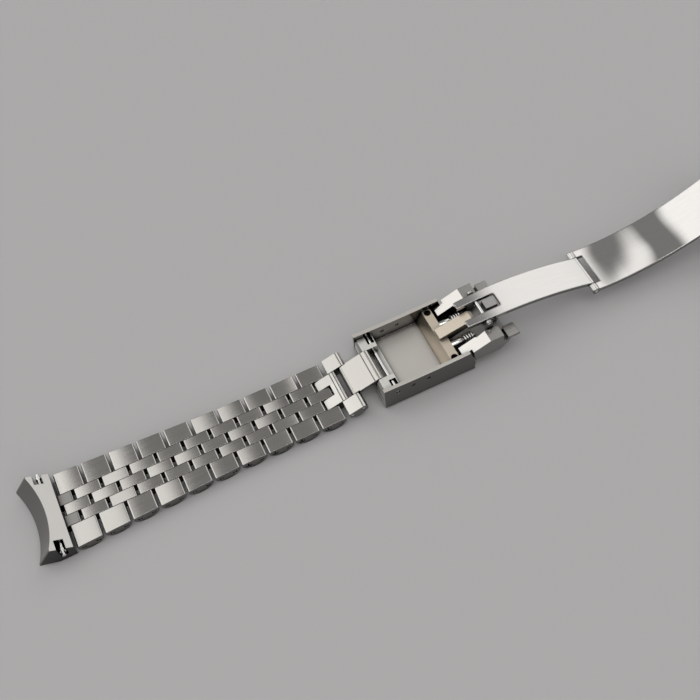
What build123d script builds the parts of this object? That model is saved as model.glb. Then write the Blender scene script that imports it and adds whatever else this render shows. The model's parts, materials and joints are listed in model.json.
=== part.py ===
from build123d import *
import math
import os

# Link watch bracelet, laid open with its wrist side up. +X runs from the first end link to the
# second, +Y across the bracelet, +Z up. Lengths in millimetres, angles in degrees.

# Link columns
link_pitch = 6.7
link_gap = 0.6
link_thickness = 2.9
link_end_height = 1.2
link_edge_radius = 0.35
column_width = 2.77
side_gap = 0.12
pin_depth = 1.25
pin_diameter = 1.1
pin_recess = 0.15
screw_head_diameter = 1.6
screw_head_length = 0.8
screw_slot_width = 0.35
screw_slot_depth = 0.3
held_clearance = 0.01
running_clearance = 0.03
first_row_width = 19.7
clasp_row_width = 16.3
first_half_rows = 10
second_half_rows = 7
tapered_rows = 6
screwed_rows = 4

# End links
lug_width = 19.8
end_body_angle = 30.0
end_body_length = 5.4
end_body_rise = 1.2
end_body_height = 5.8
end_body_belly = 0.2
end_case_lean = 38.7
end_case_radius = 24.0
end_case_bite = 1.95
end_notch_width = 1.9
end_notch_length = 2.4
end_bar_step = 2.0
end_bar_depth = 1.35
spring_tube_diameter = 1.5
spring_tube_inset = 0.9
spring_tip_diameter = 0.9
spring_tip_reach = 0.9
spring_tip_inset = 0.1
spring_flange_diameter = 1.4
spring_flange_width = 0.6
spring_shaft_diameter = 1.0
spring_shaft_length = 4.8

# Last link and extension link, which slope up to the clasp
clasp_slope = 17.5
last_bar_length = 2.4
last_side_gap = 1.2
last_axis_step = 6.3
last_ear_radius = 1.15
last_pin_step = 3.2
groove_width = 0.22
groove_depth = 0.15
extension_width = 8.5
extension_thickness = 1.05
extension_inset = 0.05
extension_barrel_radius = 1.0
extension_span = 6.5
extension_pin_diameter = 1.0

# Clasp cover
cover_lead = 1.1
cover_length = 22.4
cover_width = 17.7
cover_wall = 0.9
cover_floor = 2.8
cover_height = 7.9
cover_dip = 0.3
cover_turn_up = 0.8
cover_corner = 0.6
cover_foot_reach = 1.3
cover_foot_height = 3.2
adjust_hole_diameter = 1.0
adjust_hole_pitch = 3.95
adjust_hole_count = 3

# End insert in the cover
insert_lead = 1.0
insert_length = 5.0
insert_block_length = 4.4
insert_height = 6.4
insert_bevel = 0.6
insert_base = 0.9
insert_play = 0.05
insert_rod_step = 2.4
insert_rod_diameter = 0.9
insert_rod_height = 4.6
insert_rod_seat = 1.0
insert_pin_seat = 2.5
insert_recess_length = 1.7
insert_recess_width = 2.4
insert_recess_depth = 1.7
plunger_diameter = 0.9
plunger_seat = 0.8
plunger_inset = 0.2

# Latch block with its tongue and the blade carrier
latch_step = 15.2
latch_slant = 1.7
latch_length = 2.2
latch_height = 6.3
latch_hole_diameter = 1.7
latch_screw_inset = 0.95
latch_screw_recess = 0.9
latch_screw_bite = 1.6
tongue_width = 2.9
tongue_start_height = 7.2
tongue_end_height = 9.1
tongue_length = 8.7
tongue_tip = 1.0
tongue_thickness = 1.3
carrier_width = 10.0
carrier_thickness = 0.9
carrier_length = 14.0
cheek_width = 0.65
cheek_radius = 0.85
stop_block_width = 2.5
stop_block_length = 3.0
stop_block_step = 1.1
stop_block_rise = 0.75

# Lift lever
lever_width = 16.8
lever_channel = 10.3
lever_nose_width = 14.9
lever_nose_length = 1.7
lever_nose_floor = 3.3
lever_nose_height = 6.1
lever_top_height = 8.65
lever_start_gap = 0.3
lever_slope_end = 5.2
lever_flat_length = 3.45
lever_groove_length = 1.25
lever_groove_height = 5.9
lever_step_height = 7.1
lever_step_floor = 6.25
lever_step_run = 0.8
lever_length = 13.0
lever_end_bevel = 0.3
lever_side_start = 0.7
lever_foot_start = 1.3
lever_foot_end = 0.9
lever_rise_height = 4.95
lever_base_width = 11.8
lever_floor = 2.5
lever_lift = 0.1
lever_axis_step = 1.35
lever_pin_diameter = 1.0
lever_knuckle_width = 7.0
lever_play = 0.1

# Blades
blade_thickness = 1.0
blade_pivot_step = 28.3
blade_pivot_height = 10.25
blade_pin_diameter = 1.0
blade_boss_radius = 0.95
pivot_boss_radius = 0.8
inner_blade_width = 8.4
inner_blade_radius = 82.0
inner_peak_step = 1.7
inner_peak_rise = 0.85
inner_arm_length = 5.0
inner_arm_taper = 0.4
inner_slot_width = 3.9
inner_slot_length = 4.7
inner_slot_corner = 0.5
inner_span = 28.6
inner_hinge_sink = 0.86
outer_blade_width = 12.5
outer_blade_radius = 63.0
outer_low_step = 6.1
outer_low_rise = 0.4
outer_lug_reach = 1.05
outer_slot_length = 2.15
outer_slot_play = 0.12
outer_arc_span = 36.0
outer_straight = 3.2
outer_neck = 1.3
end_barrel_radius = 1.05

# Heights of the second half's pins where it hangs from the outer blade, as shares of the drop
drape_shares = (1, 0.815, 0.633, 0.465, 0.311, 0.18, 0.082, 0.023, 0)

# Places of the grooves across the last link's bar, as shares of its length
last_groove_shares = (0.45, 0.78)

# Cuts run past the metal by this much
overrun = 1.0


def half(value):
    return value / 2


def arc_sag(radius):
    """How far the middle of a quarter circle stands from its square corner, along each side."""
    return radius * (1 - math.sqrt(half(1)))


def turned(x, z, angle):
    """A point of the side view turned upwards about the origin."""
    c = math.cos(math.radians(angle))
    s = math.sin(math.radians(angle))
    return x * c - z * s, x * s + z * c


# Layout. The first pin, between the first end link and row 1, is at x = 0 until the whole
# bracelet is centred.
pin_step = half(link_pitch)
pin_height = link_thickness - pin_depth
link_end = half(link_pitch - link_gap) - half(pin_step)
inner_edge = half(column_width)
outer_edge = 3 * inner_edge
clasp_pin_x = (2 * first_half_rows - 1) * pin_step
ear_rise = pin_depth - last_ear_radius
ear_turn = turned(last_axis_step, ear_rise, clasp_slope)
ear_x = clasp_pin_x + ear_turn[0]
ear_z = pin_height + ear_turn[1]
base_turn = turned(last_axis_step + extension_span, ear_rise, clasp_slope)
base_x = clasp_pin_x + base_turn[0]
base_z = pin_height + base_turn[1]
cover_start = base_x - cover_lead
cover_end = cover_start + cover_length
cover_inner = half(cover_width) - cover_wall
lever_axis_x = cover_end + lever_axis_step
lever_axis_z = half(lever_floor + lever_lift)
lever_knuckle_radius = half(lever_floor - lever_lift)
pivot_x = base_x + blade_pivot_step
plunger_height = insert_height - half(insert_recess_depth)
latch_right = latch_step + latch_slant + latch_length
latch_screw_x = latch_right - half(latch_length)
latch_screw_y = cover_inner - latch_screw_inset
outer_arc_end = math.degrees(math.asin((outer_arc_span - outer_low_step) / outer_blade_radius))


def outer_top(x):
    """Height of the outer blade's wrist face above its hinge."""
    return outer_low_rise + outer_blade_radius - math.sqrt(outer_blade_radius**2 - (x - outer_low_step)**2)


def inner_top(x):
    """Height of the inner blade's upper face above its pivot."""
    return inner_peak_rise - inner_blade_radius + math.sqrt(inner_blade_radius**2 - (x - inner_peak_step)**2)


inner_drop = inner_hinge_sink - inner_top(inner_span)
fold_x = pivot_x + inner_span
fold_z = blade_pivot_height - inner_drop

tail_turn = turned(outer_straight, -end_barrel_radius, outer_arc_end)
tail_x = outer_arc_span + tail_turn[0]
tail_z = outer_top(outer_arc_span) + tail_turn[1]


def drape():
    """Pins and slopes of the second half, from the outer blade to the second end link."""
    x = fold_x + tail_x
    drop = fold_z + tail_z - pin_height
    segments = 2 * second_half_rows - 1
    stations = []
    for index in range(segments):
        start = drape_shares[min(index, len(drape_shares) - 1)]
        stop = drape_shares[min(index + 1, len(drape_shares) - 1)]
        slope = -math.degrees(math.asin(drop * (start - stop) / pin_step))
        stations.append((x, pin_height + drop * start, slope))
        x += pin_step * math.cos(math.radians(slope))
    stations.append((x, pin_height, 0))
    return stations


second_stations = drape()


def end_body_outline():
    """Side view of an end link's body about its pin, its case side to the left."""
    right = link_end - link_pitch / 2
    top = (right, pin_depth + end_body_rise)
    climb = turned(-end_body_length, 0, -end_body_angle)
    case_top = (top[0] + climb[0], top[1] + climb[1])
    fall = turned(0, -end_body_height, -end_case_lean)
    case_foot = (case_top[0] + fall[0], case_top[1] + fall[1])
    belly = (half(right + case_foot[0]) + end_body_belly, pin_depth - link_thickness + end_body_belly)
    foot = (right, pin_depth - link_thickness + 2 * end_body_belly)
    return [top, case_top, case_foot, belly, foot]


last_station = second_stations[-1]
reach_left = end_body_outline()[2][0]
reach_right = last_station[0] - reach_left
centre_x = half(reach_left + reach_right)


def row_width(pitches):
    """Width of the first half, counted in link pitches from its first pin."""
    share = min(max(pitches / tapered_rows, 0), 1)
    return first_row_width + (clasp_row_width - first_row_width) * share


def place(shape, x, z, slope=0.0):
    """Put a piece, modelled about its own pin, at a pin of the bracelet."""
    return Pos(x - centre_x, 0, z) * Rot(0, -slope, 0) * shape


def across(radius, y0, y1, x=0.0, z=0.0):
    """A round bar or bore along Y."""
    return Pos(x, half(y0 + y1), z) * Cylinder(radius, abs(y1 - y0), rotation=(90, 0, 0))


def block(x0, x1, y0, y1, z0, z1):
    return Pos(half(x0 + x1), half(y0 + y1), half(z0 + z1)) * Box(x1 - x0, y1 - y0, z1 - z0)


def side_prism(edges, y0, y1):
    """A closed side view, drawn in X and Z, as a bar from y0 to y1."""
    face = make_face(Plane.XZ * Wire(edges))
    return Pos(0, y1, 0) * extrude(face, amount=y1 - y0, dir=(0, -1, 0))


def polygon_prism(points, y0, y1):
    return side_prism(Polyline(*points, close=True).edges(), y0, y1)


def plan_prism(points, z0, z1):
    face = make_face(Polyline(*points, close=True))
    return Pos(0, 0, z0) * extrude(face, amount=z1 - z0, dir=(0, 0, 1))


def link_bar(x0, x1, y0, y1):
    """Flat on the wrist side, rounded lengthwise on the outside."""
    top = pin_depth
    shoulder = top - link_end_height
    low = top - link_thickness
    r = link_edge_radius
    k = arc_sag(r)
    edges = [
        Line((x0, shoulder), (x0, top - r)),
        ThreePointArc((x0, top - r), (x0 + k, top - k), (x0 + r, top)),
        Line((x0 + r, top), (x1 - r, top)),
        ThreePointArc((x1 - r, top), (x1 - k, top - k), (x1, top - r)),
        Line((x1, top - r), (x1, shoulder)),
        ThreePointArc((x1, shoulder), (half(x0 + x1), low), (x0, shoulder)),
    ]
    return side_prism(edges, y0, y1)


def mirrored(shape):
    """The same piece on the far side."""
    return mirror(shape, about=Plane.XZ)


def edge_prism(width0, width1, x0, x1):
    """Plan of the near outer column, whose outer edge follows the taper."""
    low = pin_depth - link_thickness - overrun
    high = pin_depth + overrun
    inner = -(outer_edge + half(side_gap))
    rate = half(width1 - width0) / (x1 - x0)
    left = x0 - overrun
    right = x1 + overrun
    points = [
        (left, inner),
        (left, -(half(width0) - rate * overrun)),
        (right, -(half(width1) + rate * overrun)),
        (right, inner),
    ]
    return plan_prism(points, low, high)


def plain_pin(x, width):
    reach = half(width) - pin_recess
    return across(half(pin_diameter), -reach, reach, x)


def screw_pin(x, width):
    """A pin with a slotted head sunk in the near side."""
    reach = half(width) - pin_recess
    head = across(half(screw_head_diameter), -reach, -reach + screw_head_length, x)
    slot = Pos(0, -reach, 0) * Box(screw_slot_width, 2 * screw_slot_depth, 2 * screw_head_diameter)
    return plain_pin(x, width) + head - Pos(x, 0, 0) * slot


def row(width0, width1, screwed=False, short_centre=False):
    """Two outer links, a centre link and their two pins, about the row's left pin."""
    x0 = -link_end
    x1 = pin_step + link_end
    widest = half(max(width0, width1)) + overrun
    holes = (0, pin_step)
    width_at_left = width0 + (width1 - width0) * link_end / (x1 - x0)
    width_at_right = width1 - (width1 - width0) * link_end / (x1 - x0)
    near = link_bar(x0, x1, -widest, -outer_edge) & edge_prism(width0, width1, x0, x1)
    far = mirrored(near)
    for x in holes:
        bore = across(half(pin_diameter) + held_clearance, -widest, widest, x)
        near = near - bore
        far = far - bore
    centre = link_bar(x0, x1, -inner_edge + half(side_gap), inner_edge - half(side_gap))
    if short_centre:
        barrel = end_barrel_radius + link_gap
        centre = centre - block(x0 - overrun, barrel, -outer_edge, outer_edge, -link_thickness,
                                link_thickness)
        holes = (pin_step,)
    for x in holes:
        centre = centre - across(half(pin_diameter) + held_clearance, -outer_edge, outer_edge, x)
    left_pin = plain_pin(0, width_at_left)
    if screwed:
        left_pin = screw_pin(0, width_at_left)
        reach = half(width_at_left)
        sink = across(half(screw_head_diameter) + held_clearance, -widest,
                      -reach + pin_recess + screw_head_length + held_clearance)
        near = near - sink
    right_pin = plain_pin(pin_step, width_at_right)
    return [near, far, centre, left_pin, right_pin]


def inner_pair():
    """The two inner links that join one row to the next, about their left pin."""
    x0 = -link_end
    x1 = pin_step + link_end
    far = link_bar(x0, x1, inner_edge + half(side_gap), outer_edge - half(side_gap))
    for x in (0, pin_step):
        far = far - across(half(pin_diameter) + running_clearance, 0, 2 * outer_edge, x)
    return [far, mirrored(far)]


def end_link():
    """Solid end link about its pin: two lugs to the right, the body to the left."""
    outline = end_body_outline()
    reach = half(lug_width)
    body = polygon_prism(outline, -reach, reach)
    lug_y0 = inner_edge + half(side_gap)
    lug_y1 = outer_edge - half(side_gap)
    lug = link_bar(-pin_step - link_end, link_end, lug_y0, lug_y1)
    body = body + lug + mirrored(lug)
    body = body - across(half(pin_diameter) + running_clearance, -reach, reach)
    body = body - case_cut(outline)
    bar_x, bar_z = end_bar_place()
    notch_start = reach - end_notch_length
    notch = block(bar_x - half(end_notch_width), bar_x + half(end_notch_width), notch_start,
                  reach + overrun, bar_z - end_notch_width, bar_z + 2 * end_body_height)
    body = body - notch - mirrored(notch)
    bore = half(spring_tube_diameter) + held_clearance
    return body - across(bore, -notch_start - overrun, notch_start + overrun, bar_x, bar_z)


def case_cut(outline):
    """The round case that the body's left side wraps, leaning with that side."""
    case_top = outline[1]
    slope = turned(1, 0, -end_body_angle)
    vertex = (case_top[0] + end_case_bite * slope[0], case_top[1] + end_case_bite * slope[1])
    away = turned(-end_case_radius, 0, -end_case_lean)
    height = 4 * end_body_height
    drum = Cylinder(end_case_radius, height)
    return Pos(vertex[0] + away[0], 0, vertex[1] + away[1]) * Rot(0, end_case_lean, 0) * drum


def end_bar_place():
    """Axis of the spring bar, below the body's sloping face."""
    top = end_body_outline()[0]
    along = turned(-end_bar_step, -end_bar_depth, -end_body_angle)
    return top[0] + along[0], top[1] + along[1]


def spring_tube():
    bar_x, bar_z = end_bar_place()
    reach = half(lug_width) - end_notch_length - spring_tube_inset
    tube = across(half(spring_tube_diameter), -reach, reach, bar_x, bar_z)
    bore = half(spring_shaft_diameter) + running_clearance
    return tube - across(bore, -lug_width, lug_width, bar_x, bar_z)


def spring_tip(side):
    """One tip of the spring bar, which can be pushed in to free the end link."""
    bar_x, bar_z = end_bar_place()
    tip_end = side * (half(lug_width) + spring_tip_reach)
    flange_end = side * (half(lug_width) - spring_tip_inset)
    shaft_end = flange_end - side * spring_flange_width
    shaft_start = shaft_end - side * spring_shaft_length
    tip = across(half(spring_tip_diameter), flange_end, tip_end, bar_x, bar_z)
    flange = across(half(spring_flange_diameter), shaft_end, flange_end, bar_x, bar_z)
    return tip + flange + across(half(spring_shaft_diameter), shaft_start, shaft_end, bar_x, bar_z)


def last_link():
    """The U-shaped link whose bar closes the centre column, about the first half's last pin."""
    x0 = -link_end
    gap_end = pin_step - link_end
    x1 = gap_end + last_bar_length
    y1 = outer_edge - half(side_gap)
    body = link_bar(x0, x1, -y1, y1)
    y0 = inner_edge + half(side_gap)
    body = body - block(x0 - overrun, gap_end, -y0, y0, -link_thickness, link_thickness)
    body = body - across(half(pin_diameter) + running_clearance, -lug_width, lug_width)
    body = body - across(half(pin_diameter) + held_clearance, -lug_width, lug_width, last_pin_step)
    for share in last_groove_shares:
        x = gap_end + last_bar_length * share
        body = body - block(x - half(groove_width), x + half(groove_width), -y1 - overrun, y1 + overrun,
                            pin_depth - groove_depth, pin_depth + overrun)
    return body


def last_side_link():
    """Near outer piece of the last link, whose ear carries the extension link."""
    top = pin_depth
    x0 = pin_step - link_end + last_side_gap - link_gap
    r = link_edge_radius
    k = arc_sag(r)
    shoulder = top - link_end_height
    ear = last_ear_radius
    low = ear_rise - ear
    middle = half(x0 + last_axis_step)
    edges = [
        Line((x0, shoulder), (x0, top - r)),
        ThreePointArc((x0, top - r), (x0 + k, top - k), (x0 + r, top)),
        Line((x0 + r, top), (last_axis_step, top)),
        ThreePointArc((last_axis_step, top), (last_axis_step + ear, ear_rise), (last_axis_step, low)),
        ThreePointArc((last_axis_step, low), (middle, pin_depth - link_thickness), (x0, shoulder)),
    ]
    piece = side_prism(edges, -half(clasp_row_width), -(outer_edge + half(side_gap)))
    piece = piece - across(half(pin_diameter) + held_clearance, -lug_width, lug_width, last_pin_step)
    return piece - across(half(extension_pin_diameter) + held_clearance, -lug_width, lug_width,
                          last_axis_step, ear_rise)


def last_pins():
    """The pin that holds the side pieces, and the hinge pin of the extension link."""
    reach = half(clasp_row_width) - pin_recess
    fixed = across(half(pin_diameter), -reach, reach, last_pin_step)
    hinge = across(half(extension_pin_diameter), -reach, reach, last_axis_step, ear_rise)
    return [fixed, hinge]


def extension_link():
    """Flat plate between two barrels, about its barrel in the last link."""
    r = extension_barrel_radius
    narrow = outer_edge - side_gap
    wide = half(extension_width)
    top = last_ear_radius - extension_inset
    low = top - extension_thickness
    x0 = last_ear_radius + side_gap
    plate = block(x0, extension_span, -wide, wide, low, top)
    neck = block(0, x0 + overrun, -narrow, narrow, low, top)
    body = plate + neck + across(r, -narrow, narrow) + across(r, -wide, wide, extension_span)
    groove_x = extension_span - r
    body = body - block(groove_x - half(groove_width), groove_x + half(groove_width), -wide - overrun,
                        wide + overrun, top - groove_depth, top + overrun)
    bore = half(extension_pin_diameter) + running_clearance
    return body - across(bore, -lug_width, lug_width) - across(bore, -lug_width, lug_width, extension_span)


def cover():
    """Open tray with a floor and two side walls, about the extension link's clasp pin in plan."""
    x0 = -cover_lead
    x1 = x0 + cover_length
    foot_x = x1 + cover_foot_reach
    xm = half(x0 + x1)
    wide = half(cover_width)
    edges = [
        ThreePointArc((x0, cover_turn_up), (xm, 0), (x1, lever_lift)),
        Line((x1, lever_lift), (foot_x, lever_lift)),
        Line((foot_x, lever_lift), (foot_x, cover_foot_height)),
        Line((foot_x, cover_foot_height), (x1, cover_height)),
        ThreePointArc((x1, cover_height), (xm, cover_height - cover_dip), (x0, cover_height)),
        Line((x0, cover_height), (x0, cover_turn_up)),
    ]
    body = side_prism(edges, -wide, wide)
    c = cover_corner
    section = Polyline((-wide, c), (-wide + c, 0), (wide - c, 0), (wide, c), (wide, cover_height),
                       (-wide, cover_height), close=True)
    envelope = extrude(make_face(Plane.YZ * section), amount=foot_x - x0)
    body = body & Pos(x0, 0, 0) * envelope
    body = body - block(x0 - overrun, foot_x + overrun, -cover_inner, cover_inner, cover_floor,
                        cover_height + overrun)
    body = body - block(x1, foot_x + overrun, -cover_inner, cover_inner, -overrun, cover_floor + overrun)
    knuckle_y = half(lever_knuckle_width)
    axis = lever_axis_x - base_x
    bridge = block(x1 - cover_corner, axis, -knuckle_y, knuckle_y, lever_lift, lever_floor)
    body = body + bridge + across(lever_knuckle_radius, -knuckle_y, knuckle_y, axis, lever_axis_z)
    lever_bore = half(lever_pin_diameter) + running_clearance
    body = body - across(lever_bore, -cover_width, cover_width, axis, lever_axis_z)
    for index in range(adjust_hole_count):
        x = insert_rod_step + index * adjust_hole_pitch
        body = body - across(half(adjust_hole_diameter), -cover_width, cover_width, x, plunger_height)
    for side in (-1, 1):
        body = body - Pos(latch_screw_x, side * latch_screw_y, cover_floor) * Cylinder(
            half(latch_hole_diameter), 2 * latch_screw_bite)
    return body


def end_insert():
    """Two blocks on a base that carry the extension link, the rod and the plungers."""
    x0 = -insert_lead
    x1 = x0 + insert_block_length
    outer = cover_inner - insert_play
    inner = half(extension_width) + insert_play
    b = insert_bevel
    outline = [(x0, cover_floor), (x0, insert_height - b), (x0 + b, insert_height), (x1, insert_height),
               (x1, cover_floor)]
    blocks = polygon_prism(outline, -outer, outer)
    blocks = blocks - block(x0 - overrun, x1 + overrun, -inner, inner, cover_floor, cover_height)
    base = block(x0, x0 + insert_length, -outer, outer, cover_floor, cover_floor + insert_base)
    body = blocks + base
    seat = inner + insert_pin_seat
    body = body - across(half(extension_pin_diameter) + held_clearance, -seat, seat, 0, base_z)
    seat = inner + insert_rod_seat
    rod_bore = half(insert_rod_diameter) + held_clearance
    body = body - across(rod_bore, -seat, seat, insert_rod_step, insert_rod_height)
    recess_y = outer - insert_recess_width
    reach = half(insert_recess_length)
    recess = block(insert_rod_step - reach, insert_rod_step + reach, recess_y, outer + overrun,
                   insert_height - insert_recess_depth, insert_height + overrun)
    body = body - recess - mirrored(recess)
    seat = recess_y - plunger_seat
    plunger_bore = half(plunger_diameter) + held_clearance
    hole = across(plunger_bore, seat, recess_y + overrun, insert_rod_step, plunger_height)
    return body - hole - mirrored(hole)


def extension_pin():
    reach = half(extension_width) + insert_play + insert_pin_seat
    return across(half(extension_pin_diameter), -reach, reach, 0, base_z)


def insert_rod():
    reach = half(extension_width) + insert_play + insert_rod_seat
    return across(half(insert_rod_diameter), -reach, reach, insert_rod_step, insert_rod_height)


def plungers():
    """Pins that lock the insert in one pair of the cover's adjusting holes."""
    start = cover_inner - insert_play - insert_recess_width - plunger_seat
    stop = half(cover_width) - plunger_inset
    far = across(half(plunger_diameter), start, stop, insert_rod_step, plunger_height)
    return [far, mirrored(far)]


def latch_block():
    """Cross bar with the raised tongue, and the carrier that holds the inner blade's pivot."""
    outer = cover_inner - insert_play
    x0 = latch_step
    x1 = latch_right
    bar = polygon_prism([(x0, cover_floor), (x0 + latch_slant, latch_height), (x1, latch_height),
                         (x1, cover_floor)], -outer, outer)
    tongue_x = x0 + latch_slant + side_gap
    tip_x = tongue_x + tongue_length
    t = tongue_thickness
    tongue = polygon_prism([
        (tongue_x, latch_height - t), (tongue_x, tongue_start_height), (tip_x, tongue_end_height),
        (tip_x + tongue_tip, tongue_end_height - tongue_tip), (tip_x, tongue_end_height - t - half(t)),
        (x1, latch_height - t)], -half(tongue_width), half(tongue_width))
    wide = half(carrier_width)
    carrier_end = x1 + carrier_length
    arm = block(x1 - overrun, carrier_end, -wide, wide, cover_floor, cover_floor + carrier_thickness)
    pivot = blade_pivot_step
    rise = blade_pivot_height
    cheek = block(pivot - cheek_radius, pivot + cheek_radius, wide - cheek_width, wide, cover_floor, rise)
    cheek = cheek + across(cheek_radius, wide - cheek_width, wide, pivot, rise)
    stop_x = pivot + stop_block_step
    stop = block(stop_x, stop_x + stop_block_length, -half(stop_block_width), half(stop_block_width),
                 cover_floor, rise + stop_block_rise)
    body = bar + tongue + arm + cheek + mirrored(cheek) + stop
    body = body - across(half(blade_pin_diameter) + held_clearance, -cover_width, cover_width, pivot, rise)
    for side in (-1, 1):
        body = body - Pos(latch_screw_x, side * latch_screw_y, latch_height) * Cylinder(
            half(latch_hole_diameter), 4 * latch_height)
    return body


def latch_screws():
    """Two slotted screws that clamp the latch block to the floor."""
    screws = []
    for side in (-1, 1):
        top = latch_height - latch_screw_recess
        low = cover_floor - latch_screw_bite
        shank = Pos(latch_screw_x, side * latch_screw_y, half(top + low)) * Cylinder(
            half(latch_hole_diameter) - held_clearance, top - low)
        slot = Pos(latch_screw_x, side * latch_screw_y, top) * Box(
            screw_slot_width, latch_hole_diameter + overrun, 2 * screw_slot_depth)
        screws.append(shank - slot)
    return screws


def lift_lever():
    """Lever whose free end lifts away from the wrist to release the blades."""
    wide = half(lever_width)
    channel = half(lever_channel)
    start = cover_end - base_x + lever_start_gap
    end = start + lever_length
    axis = lever_axis_x - base_x
    slope_end = start + lever_slope_end
    flat_end = slope_end + lever_flat_length
    step = flat_end + lever_groove_length
    foot_end = flat_end - lever_foot_end
    slope = (lever_top_height - lever_nose_height) / (lever_nose_length + lever_slope_end)
    sides = polygon_prism([
        (start + lever_side_start, lever_nose_height + slope * (lever_nose_length + lever_side_start)),
        (slope_end, lever_top_height), (flat_end, lever_top_height), (flat_end, lever_groove_height),
        (step, lever_groove_height), (step, lever_step_height), (end - lever_end_bevel, lever_step_height),
        (end, lever_step_height - lever_end_bevel), (end, lever_step_floor),
        (step + lever_step_run, lever_step_floor), (step, lever_rise_height), (foot_end, lever_nose_floor),
        (start + lever_foot_start, lever_nose_floor)], -wide, wide)
    nose_y = half(lever_nose_width)
    nose = polygon_prism([
        (start - lever_nose_length, lever_nose_floor), (start - lever_nose_length, lever_nose_height),
        (slope_end, lever_top_height), (slope_end, lever_nose_floor)], -nose_y, nose_y)
    base_y = half(lever_base_width)
    web = block(start + lever_foot_start, foot_end, -base_y, base_y, lever_lift,
                lever_nose_floor + lever_lift)
    body = sides + nose + web
    body = body - block(start - 2 * lever_nose_length, end + overrun, -channel, channel, lever_floor,
                        2 * lever_top_height)
    plate = block(axis, foot_end, -base_y, base_y, lever_lift, lever_floor)
    body = body + plate + across(lever_knuckle_radius, -base_y, base_y, axis, lever_axis_z)
    body = body - block(start - lever_start_gap, start + lever_length / 4, -half(lever_knuckle_width)
                        - lever_play, half(lever_knuckle_width) + lever_play, -overrun,
                        lever_floor + overrun)
    bore = half(lever_pin_diameter) + held_clearance
    return body - across(bore, -cover_width, cover_width, axis, lever_axis_z)


def lever_pin():
    reach = half(lever_base_width) - pin_recess
    return across(half(lever_pin_diameter), -reach, reach, lever_axis_x - base_x, lever_axis_z)


def blade_strip(top, thickness, x0, x1, y0, y1):
    """Curved strip under a given upper face; a negative thickness curves the other way."""
    xm = half(x0 + x1)
    edges = [
        ThreePointArc((x0, top(x0)), (xm, top(xm)), (x1, top(x1))),
        Line((x1, top(x1)), (x1, top(x1) - thickness)),
        ThreePointArc((x1, top(x1) - thickness), (xm, top(xm) - thickness), (x0, top(x0) - thickness)),
        Line((x0, top(x0) - thickness), (x0, top(x0))),
    ]
    return side_prism(edges, y0, y1)


def inner_blade():
    """Arched blade, forked over its pivot, about that pivot."""
    wide = half(inner_blade_width)
    fork = -inner_arm_length
    body = blade_strip(inner_top, blade_thickness, fork, inner_span, -wide, wide)
    taper = wide - inner_arm_taper
    plan = plan_prism([(fork, -taper), (inner_slot_length, -wide), (inner_span + overrun, -wide),
                       (inner_span + overrun, wide), (inner_slot_length, wide), (fork, taper)],
                      -inner_span, inner_span)
    body = body & plan
    body = body + across(pivot_boss_radius, -wide + inner_arm_taper, wide - inner_arm_taper)
    body = body + across(blade_boss_radius, -wide, wide, inner_span, -inner_drop)
    slot = block(fork - overrun, inner_slot_length, -half(inner_slot_width), half(inner_slot_width),
                 -inner_span, inner_span)
    slot = fillet(slot.edges().filter_by(Axis.Z).sort_by(Axis.X)[-2:], inner_slot_corner)
    body = body - slot
    bore = half(blade_pin_diameter) + running_clearance
    return body - across(bore, -cover_width, cover_width) - across(
        bore, -cover_width, cover_width, inner_span, -inner_drop)


def blade_pivot_pin():
    reach = half(carrier_width) - side_gap
    return across(half(blade_pin_diameter), -reach, reach)


def outer_blade():
    """Wide blade that curves up to the second half, about its hinge with the inner blade."""
    wide = half(outer_blade_width)
    start = -outer_lug_reach
    body = blade_strip(outer_top, blade_thickness, start, outer_arc_span, -wide, wide)
    tail_end = turned(outer_straight, 0, outer_arc_end)
    top = (outer_arc_span, outer_top(outer_arc_span))
    sink = turned(0, -blade_thickness, outer_arc_end)
    tail = polygon_prism([top, (top[0] + tail_end[0], top[1] + tail_end[1]),
                          (top[0] + tail_end[0] + sink[0], top[1] + tail_end[1] + sink[1]),
                          (top[0], top[1] - blade_thickness)], -wide, wide)
    neck_y = outer_edge - side_gap
    body = body + tail
    shoulder = tail_x - end_barrel_radius - outer_neck
    cut = block(shoulder, tail_x + 2 * end_barrel_radius, neck_y, wide + overrun, -outer_arc_span,
                outer_arc_span)
    body = body - cut - mirrored(cut)
    body = body + across(end_barrel_radius, -neck_y, neck_y, tail_x, tail_z)
    body = body + across(blade_boss_radius, -wide, wide)
    inner = half(inner_blade_width) + outer_slot_play
    slot = block(start - overrun, outer_slot_length, -inner, inner, -outer_arc_span, outer_arc_span)
    body = body - slot
    body = body - across(half(blade_pin_diameter) + held_clearance, -cover_width, cover_width)
    return body - across(half(pin_diameter) + running_clearance, -cover_width, cover_width, tail_x, tail_z)


def blade_hinge_pin():
    reach = half(outer_blade_width) - pin_recess
    return across(half(blade_pin_diameter), -reach, reach)


def save(name, solids):
    shapes = solids if isinstance(solids, list) else [solids]
    parts = []
    for shape in shapes:
        parts.extend(shape.solids())
    shape = parts[0] if len(parts) == 1 else Compound(children=parts)
    export_step(shape, f"parts/{name}.step")


def save_end(name, x, turn):
    """An end link with its spring bar, turned to face either way along the bracelet."""
    def settle(shape):
        return Pos(x - centre_x, 0, pin_height) * Rot(0, 0, turn) * shape
    save(f"{name}_end_link", settle(end_link()))
    save(f"{name}_spring_bar_tube", settle(spring_tube()))
    save(f"{name}_spring_bar_tip_far", settle(spring_tip(1 if turn == 0 else -1)))
    save(f"{name}_spring_bar_tip_near", settle(spring_tip(-1 if turn == 0 else 1)))


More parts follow.
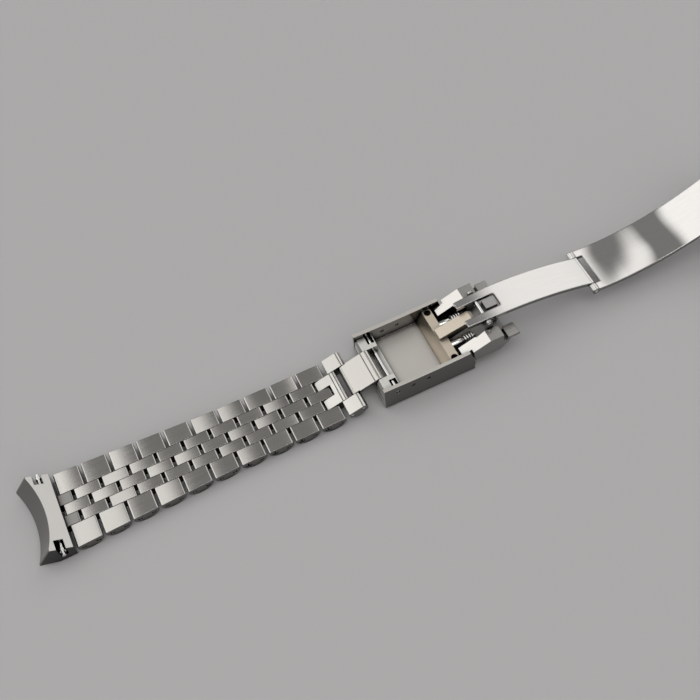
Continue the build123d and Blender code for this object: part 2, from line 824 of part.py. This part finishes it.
def save_first_half():
    save_end("first", 0, 0)
    for index in range(first_half_rows):
        x = 2 * index * pin_step
        screwed = index >= first_half_rows - screwed_rows
        solids = row(row_width(index), row_width(index + 1), screwed)
        save(f"first_row_{index + 1:02d}", [place(s, x, pin_height) for s in solids])
        if index + 1 < first_half_rows:
            pair = [place(s, x + pin_step, pin_height) for s in inner_pair()]
            save(f"first_inner_links_{index + 1:02d}", pair)
    save("last_link", place(last_link(), clasp_pin_x, pin_height, clasp_slope))
    near = last_side_link()
    save("last_side_links", [place(s, clasp_pin_x, pin_height, clasp_slope) for s in (near, mirrored(near))])
    save("last_link_pins", [place(s, clasp_pin_x, pin_height, clasp_slope) for s in last_pins()])


def save_clasp():
    save("extension_link", place(extension_link(), ear_x, ear_z, clasp_slope))
    save("clasp_cover", place(cover(), base_x, 0))
    save("end_insert", place(end_insert(), base_x, 0))
    save("extension_pin", place(extension_pin(), base_x, 0))
    save("insert_rod", place(insert_rod(), base_x, 0))
    save("insert_plungers", [place(s, base_x, 0) for s in plungers()])
    save("latch_block", place(latch_block(), base_x, 0))
    save("latch_screws", [place(s, base_x, 0) for s in latch_screws()])
    save("lift_lever", place(lift_lever(), base_x, 0))
    save("lever_pin", place(lever_pin(), base_x, 0))
    save("inner_blade", place(inner_blade(), pivot_x, blade_pivot_height))
    save("blade_pivot_pin", place(blade_pivot_pin(), pivot_x, blade_pivot_height))
    save("outer_blade", place(outer_blade(), fold_x, fold_z))
    save("blade_hinge_pin", place(blade_hinge_pin(), fold_x, fold_z))


def save_second_half():
    for index in range(second_half_rows):
        x, z, slope = second_stations[2 * index]
        back = second_half_rows - index
        width0 = row_width(back)
        width1 = row_width(back - 1)
        solids = row(width0, width1, short_centre=index == 0)
        save(f"second_row_{index + 1:02d}", [place(s, x, z, slope) for s in solids])
        if index + 1 < second_half_rows:
            x, z, slope = second_stations[2 * index + 1]
            save(f"second_inner_links_{index + 1:02d}", [place(s, x, z, slope) for s in inner_pair()])
    save_end("second", last_station[0], 180)


os.makedirs("parts", exist_ok=True)
save_first_half()
save_clasp()
save_second_half()
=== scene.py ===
import json
import math

import bpy
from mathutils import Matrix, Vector


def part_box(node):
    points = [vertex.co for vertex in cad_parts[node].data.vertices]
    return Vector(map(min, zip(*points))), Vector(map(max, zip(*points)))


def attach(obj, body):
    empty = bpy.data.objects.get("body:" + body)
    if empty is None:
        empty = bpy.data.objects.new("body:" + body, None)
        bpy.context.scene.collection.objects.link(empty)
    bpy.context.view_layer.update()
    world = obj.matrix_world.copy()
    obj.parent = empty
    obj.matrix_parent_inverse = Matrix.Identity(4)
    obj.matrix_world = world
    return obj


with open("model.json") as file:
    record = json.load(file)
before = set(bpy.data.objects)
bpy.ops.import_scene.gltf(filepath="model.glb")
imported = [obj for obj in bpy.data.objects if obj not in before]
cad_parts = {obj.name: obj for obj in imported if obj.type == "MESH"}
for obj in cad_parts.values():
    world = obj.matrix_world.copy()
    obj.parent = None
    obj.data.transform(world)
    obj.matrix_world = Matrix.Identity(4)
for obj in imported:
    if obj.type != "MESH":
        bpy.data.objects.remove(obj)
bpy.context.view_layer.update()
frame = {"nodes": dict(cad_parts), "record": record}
MM = 0.001

# Camera of the photograph, in the model's frame
camera_place = (-74.31 * MM, -122.87 * MM, 221.83 * MM)
camera_turn = (31.885, 4.568, -25.108)
camera_lens = 55.4
camera_film_width = 36
camera_nearest = 0.005
camera_farthest = 20

# Floor, and the lamp that throws the soft shadows
floor_size = 6
floor_colour = (0.52, 0.52, 0.53)
floor_roughness = 0.7
floor_shine = 0.2
lamp_place = (-0.55, 0.38, 0.75)
lamp_size = 0.30
lamp_power = 0.08

# Soft patches of light that the steel mirrors: direction, radius and soft border in degrees, strength
light_patches = ((lamp_place, 30, 4, 0.95),
                 ((0.00, -0.24, 0.97), 21, 5, 1.6),
                 ((0.15, -0.75, 0.60), 30, 10, 0.5),
                 ((0.62, 0.42, 0.66), 21, 4, 0.85))
wall_light = 0.22
light_colour = (1.0, 0.985, 0.96)

# How far a link's top may lean from flat, and how far it is crowned, as slopes
link_tilt = 0.07
link_crown = 0.12

# Rounding of the sharp edges, which only the light shows
edge_round = 0.12 * MM
blade_edge_round = 0.4 * MM
rim_round = 0.2 * MM
edge_samples = 4
# Likeness of the rounded normal to the flat one where the painted light and shade on a rim starts and
# where it is full
rim_start = 0.999
rim_full = 0.93

# Painted shade in gaps and bores: how far the surface looks for its neighbours, and how open it is where
# the painted shade is darkest and where it is clear
crevice_reach = 1.9 * MM
crevice_samples = 6
crevice_dark = 0.42
crevice_clear = 0.94
crevice_tone = 0.05

# Likeness to a direction above which a face counts as a brushed flat, a side or the end of a pin
flat_likeness = 0.99
side_likeness = 0.9
end_likeness = 0.9

# Brush lines, in noise cells a metre along x, y and z
lines_along = (60, 3600, 900)
lines_across = (3600, 60, 900)
lines_detail = 4.0
lines_roughness = 0.65
lines_height = 0.01 * MM
lines_tone = 0.10
cloud_scale = 160.0
cloud_detail = 3.0
cloud_amount = 0.08
noise_middle = 0.5

# Polished steel: fine scratches, wear of the tone and slow waves of the sheet
scratch_scale = (120, 2400, 600)
scratch_detail = 5.0
wear_start = 0.3
wear_end = 0.7
wear_tone = 0.96
wave_scale = 42.0
wave_detail = 0.5

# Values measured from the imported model; the slopes are in degrees
first_pin_x = -105.803 * MM
link_pitch = 6.7 * MM
inner_edge = 1.385 * MM
outer_edge = 4.155 * MM
clasp_slope = 17.5
end_slope = 30.0
# Keeps the random numbers of the far and the near columns apart
column_step = 5.0

# Slopes of the first links of the second half, which hang in a curve
hanging_slopes = {"second_row_01": -45, "second_inner_links_01": -40,
                  "second_row_02": -34, "second_inner_links_02": -30,
                  "second_row_03": -25, "second_inner_links_03": -18,
                  "second_row_04": -10, "second_inner_links_04": -3}

# Springs of the lever, which stand on the blade carrier behind the latch bar
clasp_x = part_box("clasp_cover")[0][0] + 1.1 * MM
spring_side = 3.1 * MM
spring_height = 5.15 * MM
spring_radius = 1.15 * MM
spring_wire = 0.42 * MM
spring_pitch = 0.62 * MM
spring_turns = 4
spring_start = clasp_x + 22.5 * MM
wire_corners = 8
steps_a_turn = 20
spring_smooth_angle = 60
guide_start = clasp_x + 19.0 * MM
guide_length = 2.9 * MM
guide_radius = 1.0 * MM
guide_core = 0.6 * MM
guide_reach = 3.6 * MM
guide_round = 0.15 * MM
guide_corners = 32
guide_round_steps = 3
guide_smooth_angle = 40

# Where the latch bar ends, and the box that holds its raised tongue
latch_bar_end = clasp_x + 19.2 * MM
tongue_end = clasp_x + 26.75 * MM
tongue_side = 1.6 * MM
tongue_bottom = 4.5 * MM


def add(tree, kind, **settings):
    node = tree.nodes.new(kind)
    for key, value in settings.items():
        setattr(node, key, value)
    return node


def feed(tree, value, socket):
    """Give a socket another socket's value or a plain number."""
    if isinstance(value, (int, float)):
        socket.default_value = value
    else:
        tree.links.new(value, socket)


def make_material(name):
    material = bpy.data.materials.new(name)
    material.use_nodes = True
    tree = material.node_tree
    tree.nodes.clear()
    out = add(tree, "ShaderNodeOutputMaterial")
    shader = add(tree, "ShaderNodeBsdfPrincipled")
    feed(tree, shader.outputs["BSDF"], out.inputs["Surface"])
    return material, tree, shader


def number(tree, operation, *values, clamp=False):
    """One sum on sockets or plain numbers."""
    node = add(tree, "ShaderNodeMath", operation=operation, use_clamp=clamp)
    for value, socket in zip(values, node.inputs):
        feed(tree, value, socket)
    return node.outputs[0]


def chain(tree, operation, values):
    """The same sum from the first value to the last."""
    total = values[0]
    for value in values[1:]:
        total = number(tree, operation, total, value)
    return total


def arrows(tree, operation, *values):
    """One sum on directions, which are sockets or three plain numbers."""
    node = add(tree, "ShaderNodeVectorMath", operation=operation)
    for value, socket in zip(values, node.inputs):
        if isinstance(value, (tuple, Vector)):
            socket.default_value = value
        else:
            feed(tree, value, socket)
    return node.outputs["Value" if operation == "DOT_PRODUCT" else "Vector"]


def parts_of(tree, arrow):
    node = add(tree, "ShaderNodeSeparateXYZ")
    feed(tree, arrow, node.inputs[0])
    return node.outputs


def arrow_of(tree, x, y=0):
    node = add(tree, "ShaderNodeCombineXYZ")
    feed(tree, x, node.inputs[0])
    feed(tree, y, node.inputs[1])
    return node.outputs[0]


def smooth_step(tree, value, start, end, low, high):
    """Low up to the start, high from the end on, and a soft change between them."""
    node = add(tree, "ShaderNodeMapRange", interpolation_type="SMOOTHSTEP")
    for name, part in (("Value", value), ("From Min", start), ("From Max", end),
                       ("To Min", low), ("To Max", high)):
        feed(tree, part, node.inputs[name])
    return node.outputs["Result"]


def pick_number(tree, mask, low, high):
    node = add(tree, "ShaderNodeMix", data_type="FLOAT")
    feed(tree, mask, node.inputs[0])
    feed(tree, low, node.inputs[2])
    feed(tree, high, node.inputs[3])
    return node.outputs[0]


def pick_colour(tree, mask, low, high):
    node = add(tree, "ShaderNodeMix", data_type="RGBA")
    feed(tree, mask, node.inputs[0])
    node.inputs[6].default_value = (*low, 1)
    node.inputs[7].default_value = (*high, 1)
    return node.outputs[2]


def shaded(tree, colour, tone):
    """The colour, made darker or brighter by the tone."""
    grey = add(tree, "ShaderNodeCombineColor")
    for socket in grey.inputs:
        feed(tree, tone, socket)
    node = add(tree, "ShaderNodeMix", data_type="RGBA", blend_type="MULTIPLY")
    node.inputs[0].default_value = 1.0
    if isinstance(colour, tuple):
        node.inputs[6].default_value = (*colour, 1)
    else:
        feed(tree, colour, node.inputs[6])
    feed(tree, grey.outputs[0], node.inputs[7])
    return node.outputs[2]


def ramp(tree, factor, stops):
    node = add(tree, "ShaderNodeValToRGB")
    for element, (place, colour) in zip(node.color_ramp.elements, stops):
        element.position = place
        element.color = (*colour, 1)
    feed(tree, factor, node.inputs[0])
    return node.outputs[0]


def noise(tree, place, scale, detail, roughness=0.5):
    node = add(tree, "ShaderNodeTexNoise")
    feed(tree, place, node.inputs["Vector"])
    feed(tree, scale, node.inputs["Scale"])
    feed(tree, detail, node.inputs["Detail"])
    feed(tree, roughness, node.inputs["Roughness"])
    return node.outputs[0]


def stretched(tree, place, scale):
    node = add(tree, "ShaderNodeMapping")
    feed(tree, place, node.inputs["Vector"])
    node.inputs["Scale"].default_value = scale
    return node.outputs[0]


def bumped(tree, height, distance, normal, strength=1.0):
    node = add(tree, "ShaderNodeBump")
    feed(tree, height, node.inputs["Height"])
    feed(tree, distance, node.inputs["Distance"])
    feed(tree, normal, node.inputs["Normal"])
    feed(tree, strength, node.inputs["Strength"])
    return node.outputs[0]


def flat_mask(tree, normal, slopes):
    """1 on the flat faces that are brushed, 0 on rounded edges, ends and sides."""
    likeness = []
    for slope in slopes:
        angle = math.radians(slope)
        facing = arrows(tree, "DOT_PRODUCT", normal, (-math.sin(angle), 0, math.cos(angle)))
        likeness.append(number(tree, "ABSOLUTE", facing))
    return number(tree, "GREATER_THAN", chain(tree, "MAXIMUM", likeness), flat_likeness)


def link_cells(tree, place):
    """A random number and a random colour for each link, and how far along the link the point is."""
    x, y, _ = parts_of(tree, place)
    size = number(tree, "ABSOLUTE", y)
    past_centre = number(tree, "GREATER_THAN", size, inner_edge)
    past_inner = number(tree, "GREATER_THAN", size, outer_edge)
    inner = number(tree, "SUBTRACT", past_centre, past_inner)
    column = number(tree, "ADD", past_centre, past_inner)
    column = number(tree, "MULTIPLY_ADD", column, number(tree, "SIGN", y), column_step)
    along = number(tree, "SUBTRACT", x, first_pin_x - link_pitch / 4)
    along = number(tree, "DIVIDE", along, link_pitch)
    # The inner links stand half a pitch further on
    along = number(tree, "SUBTRACT", along, number(tree, "MULTIPLY", inner, 0.5))
    row = number(tree, "FLOOR", along)
    dice = add(tree, "ShaderNodeTexWhiteNoise", noise_dimensions="3D")
    feed(tree, arrow_of(tree, row, column), dice.inputs["Vector"])
    return dice.outputs["Value"], dice.outputs["Color"], number(tree, "SUBTRACT", along, row)


def eased_normal(tree, radius):
    """The surface's normal with its sharp edges slightly rounded."""
    edge = add(tree, "ShaderNodeBevel", samples=edge_samples)
    edge.inputs["Radius"].default_value = radius
    return edge.outputs[0]


def tilted_normal(tree, random_colour, along, amount):
    """The eased normal, leaning a little another way on each link and slightly crowned along it."""
    lean = arrows(tree, "MULTIPLY_ADD", random_colour, (2 * amount, 2 * amount, 0), (-amount, -amount, 0))
    crown = arrow_of(tree, number(tree, "MULTIPLY_ADD", along, link_crown, -link_crown / 2))
    turn = arrows(tree, "ADD", lean, crown)
    return arrows(tree, "NORMALIZE", arrows(tree, "ADD", eased_normal(tree, edge_round), turn))


def painted_crevice_shade(tree):
    """1 in the open, painted shade in the narrow gaps and bores."""
    shelter = add(tree, "ShaderNodeAmbientOcclusion", samples=crevice_samples)
    shelter.inputs["Distance"].default_value = crevice_reach
    feed(tree, eased_normal(tree, edge_round), shelter.inputs["Normal"])
    return smooth_step(tree, shelter.outputs["AO"], crevice_dark, crevice_clear, crevice_tone, 1.0)


def painted_side_shade(tree, normal, side):
    """1 on top, and painted shade of the side's tone on the faces at both sides."""
    facing = number(tree, "ABSOLUTE", parts_of(tree, normal)[1])
    mask = number(tree, "GREATER_THAN", facing, side_likeness)
    return number(tree, "MULTIPLY_ADD", mask, side - 1, 1.0)


def painted_rim_light_and_shade(tree, gain):
    """1 on the faces; on the edges a painted highlight where the gain is above 0 and painted shade where
    it is below.
    """
    flat = add(tree, "ShaderNodeNewGeometry").outputs["Normal"]
    likeness = arrows(tree, "DOT_PRODUCT", eased_normal(tree, rim_round), flat)
    return smooth_step(tree, likeness, rim_start, rim_full, 1.0, 1.0 + gain)


def latch_mask(tree, place):
    """1 on the latch bar and its tongue, 0 on the carrier and the stop block behind them."""
    x, y, z = parts_of(tree, place)
    tongue = chain(tree, "MULTIPLY", [
        number(tree, "LESS_THAN", x, tongue_end),
        number(tree, "GREATER_THAN", z, tongue_bottom),
        number(tree, "LESS_THAN", number(tree, "ABSOLUTE", y), tongue_side)])
    return number(tree, "MAXIMUM", number(tree, "LESS_THAN", x, latch_bar_end), tongue)


def brushed_steel(name, colour, slopes=(0,), satin=0.24, polished=0.08, vary=0.0, tilt=0.0, streak=0.12,
                  brush=lines_along, side=0.32, plain=1.0, rim=0.0, carrier=None):
    """Steel with brush lines on the faces that have one of the slopes.

    Satin is the roughness there and streak how much the lines change it, polished the roughness of the
    other faces and plain their tone. Vary and tilt say how much the links differ in tone and lean. Side
    is the tone of the painted shade on the faces at both sides, rim the gain of the painted highlight on
    the edges, and carrier the colour behind the latch bar. Gaps and bores always get painted shade.
    """
    material, tree, shader = make_material(name)
    coords = add(tree, "ShaderNodeTexCoord")
    place, normal = coords.outputs["Object"], coords.outputs["Normal"]
    lines = noise(tree, stretched(tree, place, brush), 1.0, lines_detail, lines_roughness)
    cloud = noise(tree, place, cloud_scale, cloud_detail)
    mask = flat_mask(tree, normal, slopes)

    grain = number(tree, "MULTIPLY_ADD", lines, streak, satin - streak / 2)
    grain = number(tree, "SUBTRACT", grain, cloud_amount / 2)
    grain = number(tree, "MULTIPLY_ADD", cloud, cloud_amount, grain)
    feed(tree, pick_number(tree, mask, polished, grain), shader.inputs["Roughness"])

    random_value, random_colour, along = link_cells(tree, place)
    tone = number(tree, "MULTIPLY_ADD", lines, lines_tone, 1 - lines_tone / 2)
    if vary:
        tone = number(tree, "MULTIPLY", tone,
                      number(tree, "MULTIPLY_ADD", random_value, vary, 1 - vary / 2))
    # Tone of the brush lines and of each link at random, the plain tone elsewhere, painted shade on the
    # faces at both sides and painted shade in gaps and bores
    tones = [pick_number(tree, mask, plain, tone), painted_side_shade(tree, normal, side), painted_crevice_shade(tree)]
    # A painted highlight along the edges
    if rim:
        tones.append(painted_rim_light_and_shade(tree, rim))
    if carrier:
        colour = pick_colour(tree, latch_mask(tree, place), carrier, colour)
    feed(tree, shaded(tree, colour, chain(tree, "MULTIPLY", tones)), shader.inputs["Base Color"])
    shader.inputs["Metallic"].default_value = 1.0

    if tilt:
        eased = tilted_normal(tree, random_colour, along, tilt)
    else:
        eased = eased_normal(tree, edge_round)
    feed(tree, bumped(tree, lines, lines_height, eased, mask), shader.inputs["Normal"])
    return material


def polished_steel(name, colour, roughness, scratch=0.16, ripple=0.0, side=1.0):
    """Mirror-bright steel.

    Scratch is how much the fine scratches roughen it and ripple the height of its slow waves. Side is the
    tone of the painted shade on the faces at both sides and on the rims.
    """
    material, tree, shader = make_material(name)
    coords = add(tree, "ShaderNodeTexCoord")
    place, normal = coords.outputs["Object"], coords.outputs["Normal"]
    lines = noise(tree, stretched(tree, place, scratch_scale), 1.0, scratch_detail)
    marks = number(tree, "SUBTRACT", lines, noise_middle, clamp=True)
    feed(tree, number(tree, "MULTIPLY_ADD", marks, scratch, roughness), shader.inputs["Roughness"])

    worn = [part * wear_tone for part in colour]
    wear_and_painted_shade = ramp(tree, lines, ((wear_start, worn), (wear_end, colour)))
    # Painted shade on the faces at both sides and on the rims
    if side < 1:
        edges = number(tree, "MULTIPLY", painted_side_shade(tree, normal, side), painted_rim_light_and_shade(tree, side - 1))
        wear_and_painted_shade = shaded(tree, wear_and_painted_shade, edges)
    feed(tree, wear_and_painted_shade, shader.inputs["Base Color"])
    shader.inputs["Metallic"].default_value = 1.0

    if ripple:
        wave = noise(tree, place, wave_scale, wave_detail)
        waved = bumped(tree, wave, ripple, eased_normal(tree, blade_edge_round))
        feed(tree, waved, shader.inputs["Normal"])
    return material


end_steel = (0.60, 0.59, 0.575)
row_steel = (0.60, 0.585, 0.565)
warm_steel = (0.73, 0.655, 0.55)
row_finish = {"satin": 0.15, "vary": 0.25, "tilt": link_tilt}
# The end links' faces that aren't flat get painted shade through plain, and their sides a darker painted
# shade
end_finish = {"satin": 0.3, "brush": lines_across, "side": 0.26, "plain": 0.4}
materials = {
    "link_steel": brushed_steel("link_satin", row_steel, **row_finish),
    "last_steel": brushed_steel("last_link_satin", (0.61, 0.60, 0.575), slopes=(clasp_slope,),
                                vary=0.1, tilt=link_tilt),
    "plate_steel": brushed_steel("plate_satin", (0.58, 0.565, 0.54), slopes=(clasp_slope,),
                                 brush=lines_across),
    "first_end": brushed_steel("first_end_satin", end_steel, slopes=(-end_slope,), **end_finish),
    "second_end": brushed_steel("second_end_satin", end_steel, slopes=(end_slope,), **end_finish),
    # The cover's sides get painted shade and its rims a painted highlight
    "cover_steel": brushed_steel("cover_satin", (0.65, 0.63, 0.60), satin=0.55, side=0.25, rim=0.35),
    # The insert's rims get a painted highlight
    "insert_steel": brushed_steel("insert_satin", (0.84, 0.83, 0.80), satin=0.5, rim=0.3),
    "latch_steel": brushed_steel("latch_satin", warm_steel, satin=0.5, polished=0.3,
                                 carrier=(0.50, 0.49, 0.48)),
    # The lever's flat faces are painted darker as shade; the plain tone brings its other faces back to
    # bright steel, and its sides get painted shade
    "lever_steel": brushed_steel("lever_satin", (0.44, 0.43, 0.415), satin=0.25, side=0.42,
                                 plain=1.65),
    # The blades' sides and rims get painted shade
    "inner_blade_steel": polished_steel("inner_blade_polish", (0.76, 0.75, 0.74), 0.16,
                                        scratch=0.08, ripple=0.5 * MM, side=0.3),
    "outer_blade_steel": polished_steel("outer_blade_polish", (0.78, 0.77, 0.76), 0.03,
                                        scratch=0.04, ripple=4.0 * MM, side=0.3),
    "pin_steel": polished_steel("pin_polish", (0.80, 0.80, 0.79), 0.1),
    # The ground screws are painted darker, as shade in their holes
    "screw_steel": brushed_steel("screw_ground", (0.42, 0.40, 0.38), satin=0.35, polished=0.2),
}


def dress(node, material):
    """Put one material on every face of a piece of the model."""
    slots = frame["nodes"][node].data.materials
    if not slots:
        slots.append(material)
    for index in range(len(slots)):
        slots[index] = material


for entry in frame["record"]["subparts"]:
    node, slot = entry["node"], entry["material_slot"]
    if node in hanging_slopes:
        dress(node, brushed_steel(f"{node}_satin", row_steel, slopes=(hanging_slopes[node],),
                                  **row_finish))
    elif node in ("last_link", "last_side_links"):
        dress(node, materials["last_steel"])
    elif slot == "end_link_steel":
        dress(node, materials[node.replace("_link", "")])
    else:
        dress(node, materials[slot])


def deselect():
    for item in bpy.context.selected_objects:
        item.select_set(False)
    bpy.context.view_layer.objects.active = None


def carry(piece, name):
    """Bring a new piece's own origin to the model's, and say what carries it."""
    piece.name = name
    bpy.ops.object.transform_apply(location=True, rotation=True, scale=True)
    piece.data.materials.append(materials["pin_steel"])
    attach(piece, "clasp")


def lever_spring(name, y):
    """A short coil round the guide, between the latch bar and the lever."""
    deselect()
    bpy.ops.mesh.primitive_circle_add(vertices=wire_corners, radius=spring_wire / 2,
                                      fill_type="NOTHING", location=(spring_start, y, spring_height))
    coil = bpy.context.object
    bpy.ops.object.mode_set(mode="EDIT")
    bpy.ops.transform.translate(value=(0, spring_radius, 0))
    bpy.ops.object.mode_set(mode="OBJECT")
    turn = coil.modifiers.new("turns", "SCREW")
    turn.axis = "X"
    turn.screw_offset = spring_pitch
    turn.iterations = spring_turns
    turn.steps = turn.render_steps = steps_a_turn
    bpy.ops.object.modifier_apply(modifier="turns")
    bpy.ops.object.mode_set(mode="EDIT")
    bpy.ops.mesh.select_all(action="SELECT")
    bpy.ops.mesh.fill_holes(sides=0)
    bpy.ops.mesh.select_all(action="SELECT")
    bpy.ops.mesh.normals_make_consistent(inside=False)
    bpy.ops.object.mode_set(mode="OBJECT")
    bpy.ops.object.shade_smooth_by_angle(angle=math.radians(spring_smooth_angle))
    carry(coil, name)


def spring_guide(name, y):
    """A stepped pin from the latch bar's back face through the coil."""
    deselect()
    bpy.ops.mesh.primitive_cylinder_add(vertices=guide_corners, radius=guide_radius, depth=guide_length,
                                        location=(guide_start + guide_length / 2, y, spring_height),
                                        rotation=(0, math.radians(90), 0))
    pin = bpy.context.object
    bpy.ops.object.transform_apply(location=False, rotation=True, scale=False)
    bpy.ops.object.mode_set(mode="EDIT")
    bpy.ops.mesh.select_mode(type="FACE")
    bpy.ops.mesh.select_all(action="DESELECT")
    bpy.ops.object.mode_set(mode="OBJECT")
    for face in pin.data.polygons:
        face.select = face.normal.x > end_likeness
    bpy.ops.object.mode_set(mode="EDIT")
    bpy.ops.mesh.inset(thickness=guide_radius - guide_core)
    bpy.ops.mesh.extrude_region_move(TRANSFORM_OT_translate={"value": (guide_reach, 0, 0)})
    bpy.ops.object.mode_set(mode="OBJECT")
    round_off = pin.modifiers.new("edges", "BEVEL")
    round_off.width = guide_round
    round_off.segments = guide_round_steps
    round_off.limit_method = "ANGLE"
    bpy.ops.object.modifier_apply(modifier="edges")
    bpy.ops.object.shade_smooth_by_angle(angle=math.radians(guide_smooth_angle))
    carry(pin, name)


for side, y in (("far", spring_side), ("near", -spring_side)):
    lever_spring(f"lever_spring_{side}", y)
    spring_guide(f"lever_spring_guide_{side}", y)


def floor():
    deselect()
    bpy.ops.mesh.primitive_plane_add(size=floor_size)
    plane = bpy.context.object
    plane.name = "floor"
    material, tree, shader = make_material("floor_grey")
    shader.inputs["Base Color"].default_value = (*floor_colour, 1)
    shader.inputs["Roughness"].default_value = floor_roughness
    shader.inputs["Specular IOR Level"].default_value = floor_shine
    plane.data.materials.append(material)


def soft_light(tree, way, direction, radius, softness, strength):
    """A round patch of light far off; its radius and soft border are in degrees."""
    facing = arrows(tree, "DOT_PRODUCT", way, Vector(direction).normalized())
    outer = math.cos(math.radians(radius + softness))
    inner = math.cos(math.radians(radius - softness))
    return smooth_step(tree, facing, outer, inner, 0.0, strength)


def room():
    """Dim warm walls with four soft patches of light: left, above, in front and right."""
    world = bpy.data.worlds.new("studio")
    bpy.context.scene.world = world
    world.use_nodes = True
    tree = world.node_tree
    tree.nodes.clear()
    out = add(tree, "ShaderNodeOutputWorld")
    back = add(tree, "ShaderNodeBackground")
    way = add(tree, "ShaderNodeTexCoord").outputs["Generated"]
    lights = [soft_light(tree, way, *patch) for patch in light_patches]
    feed(tree, chain(tree, "ADD", lights + [wall_light]), back.inputs["Strength"])
    back.inputs["Color"].default_value = (*light_colour, 1)
    feed(tree, back.outputs[0], out.inputs[0])


def lamp():
    """The large lamp on the left, turned to the model's origin."""
    data = bpy.data.lights.new("left_softbox", "AREA")
    data.energy = lamp_power
    data.size = lamp_size
    item = bpy.data.objects.new("left_softbox", data)
    item.location = lamp_place
    item.rotation_euler = (-Vector(lamp_place)).to_track_quat("-Z", "Y").to_euler()
    bpy.context.collection.objects.link(item)


def camera():
    data = bpy.data.cameras.new("photo_camera")
    data.lens = camera_lens
    data.sensor_width = camera_film_width
    data.clip_start = camera_nearest
    data.clip_end = camera_farthest
    item = bpy.data.objects.new("photo_camera", data)
    item.location = camera_place
    item.rotation_euler = [math.radians(turn) for turn in camera_turn]
    bpy.context.collection.objects.link(item)
    bpy.context.scene.camera = item


floor()
room()
lamp()
camera()
bpy.context.scene.view_settings.view_transform = "Standard"
